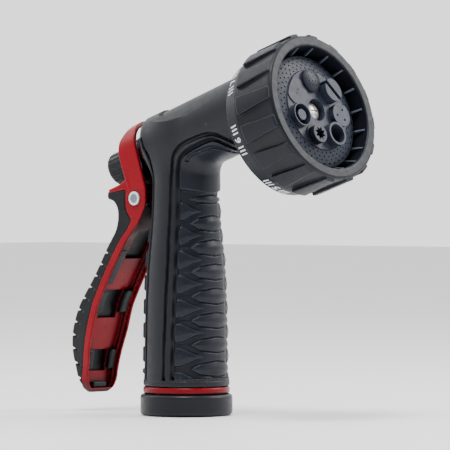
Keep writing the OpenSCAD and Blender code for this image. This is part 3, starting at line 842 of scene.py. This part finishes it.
def make_materials():
    """Every material, by a short key."""
    return {
        "jacket": finish("jacket_plastic", "#191b21", "#1d1f25", (0.4, 0.5), edge=1.8),
        "rubber": finish("grip_rubber", "#14181f", "#191d26", (0.34, 0.44), 1600.0, 0.00006, edge=3.0,
                         shade_reach=0.0026, painted_shade=0.75, sharp=(0.51, 0.58)),
        "pad": finish("pad_rubber", "#0c0e12", "#101216", (0.36, 0.46), 1600.0, 0.00006, edge=2.4),
        # The red's long occlusion reach and strong factor paint deep shade into the lever's channel.
        "red": finish("red_plastic", "#850215", "#8f0519", (0.27, 0.32), 700.0, 0.000003, gloss=0.17,
                      edge=1.3, shade_reach=0.022, painted_shade=0.97, clear=0.98),
        "ring": finish("ring_plastic", "#0e1219", "#12161f", (0.38, 0.48), edge=3.0, shade_reach=0.0026,
                       painted_shade=0.9),
        # The ribs' lighter colour is a painted highlight.
        "ribs": finish("rib_plastic_painted_highlight", "#3c4450", "#49525e", (0.3, 0.4), gloss=0.5, shade_reach=0.0026,
                       painted_shade=0.9),
        "face": finish("face_plastic", "#0d1017", "#12151d", (0.36, 0.46), edge=4.0, shade_reach=0.0012),
        "dark": finish("dark_plastic", "#0a0b0d", "#0e0f12", (0.32, 0.42)),
        "black": finish("collar_plastic", "#15161b", "#191a20", (0.34, 0.44)),
        "chrome": finish("chrome", "#d6d8dc", "#e6e8ea", (0.12, 0.2), 500.0, 0.00001, 1.0, 0.5, 1.0,
                         painted_shade=0.3),
        "bright": finish("bright_steel", "#e6e4e0", "#f2f0ec", (0.26, 0.36), 700.0, 0.00001, 0.8, 0.5, 1.0,
                         painted_shade=0.3),
        "steel": finish("steel", "#c4c8ce", "#d8dbdf", (0.3, 0.42), 1500.0, 0.00002, 1.0, 0.5, 1.0),
        "cast": finish("cast_metal", "#1d1f22", "#24262a", (0.4, 0.55), 700.0, 0.0001, 0.6),
        "brass": finish("brass", "#8f7a4a", "#a58d58", (0.25, 0.4), 900.0, 0.00003, 1.0, 0.5, 1.0),
        "seal": finish("seal_rubber", "#0c0c0e", "#121214", (0.5, 0.62)),
        "rivet": rivet_finish(),
        "paint": finish("white_paint", "#e8eaec", "#dfe2e5", (0.4, 0.5), edge=1.0, painted_shade=0.2),
    }


# Which CAD parts take which finish
NODE_FINISH = {
    "cast": ["valve_casting", "handle_tube"],
    "black": ["inlet_collar"],
    "dark": ["flow_knob"],
    "red": ["trim_ring"],
    "seal": ["hose_washer", "stem_seal", "plug_seal", "port_seal"],
    "chrome": ["gland_nut", "valve_stem", "thrust_washer", "screw_washer"],
    "bright": ["centre_screw"],
    "rivet": ["pivot_rivet"],
    "steel": ["valve_seat", "valve_spring", "detent_ball", "detent_spring"],
    "brass": ["valve_plug"],
    "ring": ["turret_seat", "turret_base"],
    "face": ["nozzle_plate", "mist_outlet", "fan_outlet", "soaker_outlet", "full_outlet", "star_outlet",
             "cone_outlet", "cone_pin", "shower_cover"],
}
# Width of the softened edges, in millimetres, and the CAD parts that have them
SOFT_EDGES = {
    0.5: ["inlet_collar", "trim_ring", "gland_nut"],
    0.3: ["pivot_rivet", "nozzle_plate", "turret_seat", "mist_outlet", "fan_outlet", "soaker_outlet",
          "full_outlet", "star_outlet", "cone_outlet", "cone_pin", "thrust_washer"],
    0.15: ["flow_knob", "centre_screw", "shower_cover"],
}


def finish_nodes(materials):
    """Better finishes and softened edges for the CAD parts that stay in view."""
    for key, names in NODE_FINISH.items():
        for name in names:
            node = frame["nodes"][name]
            for place in node.material_slots:
                place.material = materials[key]
    for width, names in SOFT_EDGES.items():
        for name in names:
            bevel = frame["nodes"][name].modifiers.new("soft_edges", "BEVEL")
            bevel.width = width * MM
            bevel.segments = 2
            bevel.limit_method = "ANGLE"
            bevel.angle_limit = math.radians(40)
            bevel.harden_normals = True


def add_pieces(materials):
    """Moulded pieces, which stand for the CAD parts named last or are added to them."""
    add_piece("jacket", [mould(jacket_distance, (-20.5, -20, 11), (49, 20, 151), 0.6)],
              "nozzle_body", materials["jacket"], ["body_jacket"])
    add_piece("ribbed_grip", [mould(front_grip_distance, (0, -20, 14), (40, 20, 126), 0.45)],
              "nozzle_body", materials["rubber"], ["front_grip"])
    add_piece("block_strip", [mould(back_grip_distance, (-21, -16, 14), (-4, 16, 90), 0.4)],
              "nozzle_body", materials["rubber"], ["back_grip"])
    add_piece("squeeze_lever", [mould(lever_distance, (-60, -14, 7), (-8, 14, 134), 0.45)],
              "lever", materials["red"], ["lever_frame"])
    add_piece("thumb_pad", [mould(pad_distance, (-62, -13, 8), (-22, 13, 100), 0.45)],
              "lever", materials["pad"], ["lever_pad"])
    add_piece("grip_ring", [mould(ring_distance, (-34.5, -34.5, 48), (34.5, 34.5, 79.5), 0.45, TURRET)],
              "turret", materials["ring"], ["turret_ring"])
    add_piece("rim_ribs", [mould(rib_distance, (-28, -28, 61), (28, 28, 78), 0.35, TURRET)],
              "turret", materials["ribs"])
    add_piece("pattern_marks", mark_surfaces(), "turret", materials["paint"])
    add_piece("threaded_socket", [mould(socket_distance, (-18, -18, -0.6), (18, 18, 14), 0.4)],
              "nozzle_body", materials["brass"], ["inlet_socket"])


# ---------- studio ----------


def add_area(name, azimuth, elevation, distance, size, power):
    """Soft light aimed at the object."""
    back = direction_from(azimuth, elevation)
    light = bpy.data.objects.new(name, bpy.data.lights.new(name, "AREA"))
    light.data.size = size
    light.data.energy = power
    light.location = Vector((0.02, 0, 0.08)) + back * distance
    light.rotation_euler = back.to_track_quat("Z", "Y").to_euler()
    bpy.context.scene.collection.objects.link(light)


def add_floor():
    """Plain pale floor, just below the object so that the two faces don't meet."""
    mesh = bpy.data.meshes.new("floor")
    half = 4
    corners = [(-half, -half, 0), (half, -half, 0), (half, half, 0), (-half, half, 0)]
    mesh.from_pydata(corners, [], [(0, 1, 2, 3)])
    floor = bpy.data.objects.new("floor", mesh)
    floor.location.z = -0.0002
    mesh.materials.append(new_material("floor", (0.9, 0.9, 0.91), 0.6)[0])
    bpy.context.scene.collection.objects.link(floor)
    floor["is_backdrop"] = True


def add_world():
    """Pale studio surroundings, brighter behind and above the object than in front of it."""
    world = bpy.data.worlds.new("studio")
    world.use_nodes = True
    tree = world.node_tree
    direction = tree.nodes.new("ShaderNodeTexCoord")
    facing = tree.nodes.new("ShaderNodeVectorMath")
    facing.operation = "DOT_PRODUCT"
    facing.inputs[1].default_value = (-0.62, 0.68, 0.35)
    tree.links.new(direction.outputs["Generated"], facing.inputs[0])
    ramp = add(tree, "ShaderNodeMapRange", From_Min=-0.7, From_Max=0.8, To_Min=0.28, To_Max=1.8)
    tree.links.new(facing.outputs["Value"], ramp.inputs["Value"])
    tree.links.new(ramp.outputs["Result"], tree.nodes["Background"].inputs["Strength"])
    tree.nodes["Background"].inputs["Color"].default_value = (1, 1, 1, 1)
    bpy.context.scene.world = world


def add_studio():
    """Surroundings and three soft lights."""
    add_world()
    add_area("key", azimuth=25, elevation=72, distance=1.0, size=0.3, power=10)
    add_area("left", azimuth=-75, elevation=30, distance=1.1, size=0.5, power=1.5)
    add_area("rim", azimuth=140, elevation=35, distance=1.0, size=0.5, power=7)


def main():
    """Build everything round the CAD frame."""
    materials = make_materials()
    add_pieces(materials)
    finish_nodes(materials)
    add_floor()
    add_studio()
    boxes = {"cad": CAD_BOX, "visual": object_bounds()}
    plain = {name: [list(corner_point) for corner_point in box] for name, box in boxes.items()}


main()
